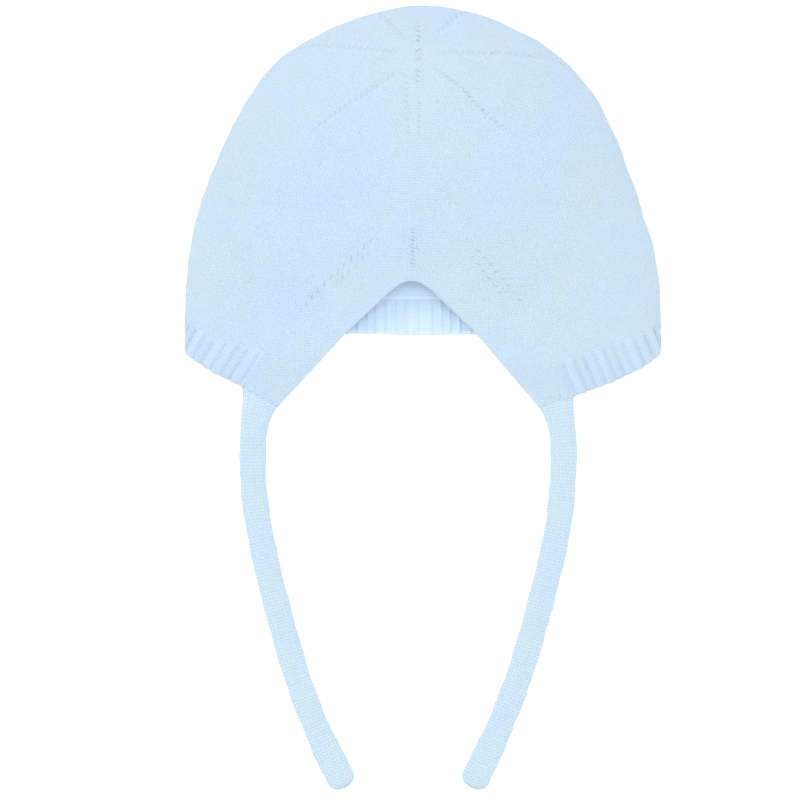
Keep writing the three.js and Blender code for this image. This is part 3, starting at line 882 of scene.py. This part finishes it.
def remove_loose(piece, used):
    """Takes away the points that no face uses, which are below the band's top."""
    form = bmesh.new()
    form.from_mesh(piece.data)
    form.verts.ensure_lookup_table()
    bmesh.ops.delete(form, geom=[v for v in form.verts if not used[v.index]], context="VERTS")
    form.to_mesh(piece.data)
    form.free()


crown()


# ---------------------------------------------------------------- neck band

RIB_PITCH = 3.87
RIB_DEPTH = 132.0  # mm below the crown, where lengths along the band are taken
ROOT_STEPS = 40
BAND_STEP = 0.42
BAND_FOLD_STEPS, BAND_FOLD_POWER = 24, 1.6
BACK_COLUMNS, LEFT_COLUMNS = 200, 32
BAND_RIM_ROWS = [0, 0.12, 0.4, 0.8, 1.25]  # mm above the rim
BAND_EVEN_FROM, BAND_EVEN_ROWS = 1.7, 26
RIB_PROUD, RIB_LOW = 1.2, 0.35  # mm outside the middle of the fabric, on a rib and beside it
RIB_INSIDE, RIB_GIVES = -1.45, 0.6  # the same inside, and how much less it is behind a rib
INSIDE_AT_SEAM = 0.45  # mm less at the seam
RIB_ENDS, BAND_ENDS = 2.2, 1.2  # mm below the band's top, and from its ends, over which the ribs run out


def rib_share(phase):
    """1 on a rib and 0 in the groove beside it. A rib is two stitches wide with a slight dip between them."""
    p = phase % 1
    body = smoothstep(0.0, 0.17, p) * smoothstep(0.9, 0.73, p)
    return body * (1 - 0.16 * np.exp(-(((p - 0.43) / 0.06) ** 2)))


def neck_band():
    # columns from the right flap to the middle of the back, and on from there to the left flap
    fold = [FOLD_ZONE * (k / BAND_FOLD_STEPS) ** BAND_FOLD_POWER for k in range(BAND_FOLD_STEPS + 1)]
    right = list(np.arange(RIGHT_OUTER + SEAM_GAP, FOLD - FOLD_ZONE, BAND_STEP)) + [FOLD - d for d in fold[::-1]]
    right += [FOLD + d for d in fold[1:]] + list(np.linspace(FOLD + FOLD_ZONE, 2 * FOLD, BACK_COLUMNS)[1:])
    left = list(np.linspace(-2 * FOLD, -FOLD - FOLD_ZONE, BACK_COLUMNS)[1:]) + [-FOLD - d for d in fold[:0:-1]]
    left += [-FOLD + d for d in fold] + list(np.linspace(-FOLD + FOLD_ZONE, LEFT_OUTER - SEAM_GAP, LEFT_COLUMNS)[1:])
    right.insert(1, right[0] + SEAM_SUPPORT)
    left.insert(-1, left[-1] - SEAM_SUPPORT)
    girths = np.array(right + left)
    count = len(girths)
    heights = np.concatenate([BAND_RIM_ROWS, np.linspace(BAND_EVEN_FROM, BAND_HEIGHT, BAND_EVEN_ROWS)])
    heights = np.insert(heights, -1, BAND_HEIGHT - SEAM_SUPPORT)
    rows = len(heights)
    girth, height = np.meshgrid(girths, heights)
    middle, normal = middle_and_normal(girth, height)
    place = girth + lean(girth, height)
    root = place  # the girth at the rim of the rib that passes here
    for _ in range(ROOT_STEPS):
        slope = np.where(place < 0, LEFT_LEAN, RIGHT_LEAN) * (1 - smoothstep(1.12 * FOLD, 1.8 * FOLD, np.abs(root)))
        root = (root + place - slope * (middle[..., 1] - rim_y(root))) / 2
    at_depth = np.full_like(place, RIB_DEPTH)
    at_rim = looked_up(AROUND, root, at_depth)
    phase = (looked_up(AROUND, place, at_depth) - (place - root)) / RIB_PITCH
    phase = phase + 0.06 * np.sin(at_rim * 0.55) + 0.05 * np.sin(at_rim * 0.23 + 1)
    rib = rib_share(phase)
    into_plain = smoothstep(BAND_HEIGHT - RIB_ENDS, BAND_HEIGHT, height)
    end = np.minimum(np.abs(girth - RIGHT_OUTER), np.abs(girth - LEFT_OUTER))
    into_plain = np.maximum(into_plain, 1 - smoothstep(0, BAND_ENDS, end))
    proud = RIB_LOW + (RIB_PROUD - RIB_LOW) * rib
    proud = proud + (KNIT / 2 - proud) * into_plain
    inside = RIB_INSIDE + RIB_GIVES * rib * (1 - into_plain) + INSIDE_AT_SEAM * into_plain
    edge = rounded(height, BAND_EDGE)
    loose = ripple(middle[..., 0], middle[..., 1]) * looseness(height, middle[..., 1])
    proud, inside = proud + loose, inside + loose
    centre = (proud + inside) / 2
    outer = middle + normal * (centre + (proud - centre) * edge)[..., None]
    inner = middle + normal * (centre + (inside - centre) * edge)[..., None]
    for layer in (outer, inner):
        layer[..., 2] = np.maximum(layer[..., 2], LOWEST)
    points = np.vstack([outer.reshape(-1, 3), inner.reshape(-1, 3)])
    size = rows * count
    wale_u, course_v = (phase * 3).ravel(), (height / COURSE).ravel()
    faces, uvs, face_material, flat = [], [], [], []

    def add(corners, grid_corners, material, at_seam=False):
        faces.append(corners)
        flat.append(at_seam)
        face_material.append(material)
        us = [wale_u[g] for g in grid_corners]
        if max(us) - min(us) > 10:  # the column at the middle of the back, where the count starts again
            us = [min(us) + 0.1] * len(us)
        uvs.extend((u, course_v[g]) for u, g in zip(us, grid_corners))

    def at(i, j):
        return i * count + j

    for j in range(count - 1):
        for i in range(rows - 1):
            corners = (at(i, j), at(i, j + 1), at(i + 1, j + 1), at(i + 1, j))
            add(corners, corners, 0)
            add(tuple(size + g for g in corners[::-1]), corners[::-1], 1)
        for i, order in ((0, 1), (rows - 1, -1)):
            a, b = (at(i, j), at(i, j + 1))[::order]
            add((b, a, size + a, size + b), (b, a, a, b), 0, i > 0)
    for j, order in ((0, 1), (count - 1, -1)):
        for i in range(rows - 1):
            a, b = (at(i + 1, j), at(i, j))[::order]
            add((b, a, size + a, size + b), (b, a, a, b), 0, True)
    piece = new_piece("neck_band", points, faces, [RIB, RIB_BACK], uvs, None, None, face_material, flat)
    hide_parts("neck_band")
    return piece


neck_band()


# ---------------------------------------------------------------- floor and light

FLOOR_SIZE = 8.0
FLOOR_GREY = 0.93
WORLD_STRENGTH = 1.3
LIGHTS = (  # place and size in metres, power in watts
    ("overhead", (0.0, -0.05, 2.2), 1.5, 24.0),
    ("side", (-1.4, 1.1, 1.5), 1.2, 6.0),
)

mesh = bpy.data.meshes.new("floor")
half = FLOOR_SIZE / 2
mesh.from_pydata([(-half, -half, 0), (half, -half, 0), (half, half, 0), (-half, half, 0)], [], [(0, 1, 2, 3)])
floor = bpy.data.objects.new("floor", mesh)
bpy.context.scene.collection.objects.link(floor)
paper = bpy.data.materials.new("floor")
paper.use_nodes = True
paper_shader = paper.node_tree.nodes["Principled BSDF"]
paper_shader.inputs["Base Color"].default_value = (FLOOR_GREY, FLOOR_GREY, FLOOR_GREY, 1)
paper_shader.inputs["Roughness"].default_value = 0.9
paper_shader.inputs["Specular IOR Level"].default_value = 0.1
mesh.materials.append(paper)

world = bpy.data.worlds.new("studio")
world.use_nodes = True
background = world.node_tree.nodes["Background"]
background.inputs["Color"].default_value = (1, 1, 1, 1)
background.inputs["Strength"].default_value = WORLD_STRENGTH
bpy.context.scene.world = world

for light_name, place, size, energy in LIGHTS:
    lamp = bpy.data.lights.new(light_name, "AREA")
    lamp.shape, lamp.size, lamp.energy = "DISK", size, energy
    light = bpy.data.objects.new(light_name, lamp)
    light.location = place
    light.rotation_euler = (-Vector(place)).to_track_quat("-Z", "Y").to_euler()
    bpy.context.scene.collection.objects.link(light)
bpy.context.scene.view_settings.view_transform = "Standard"
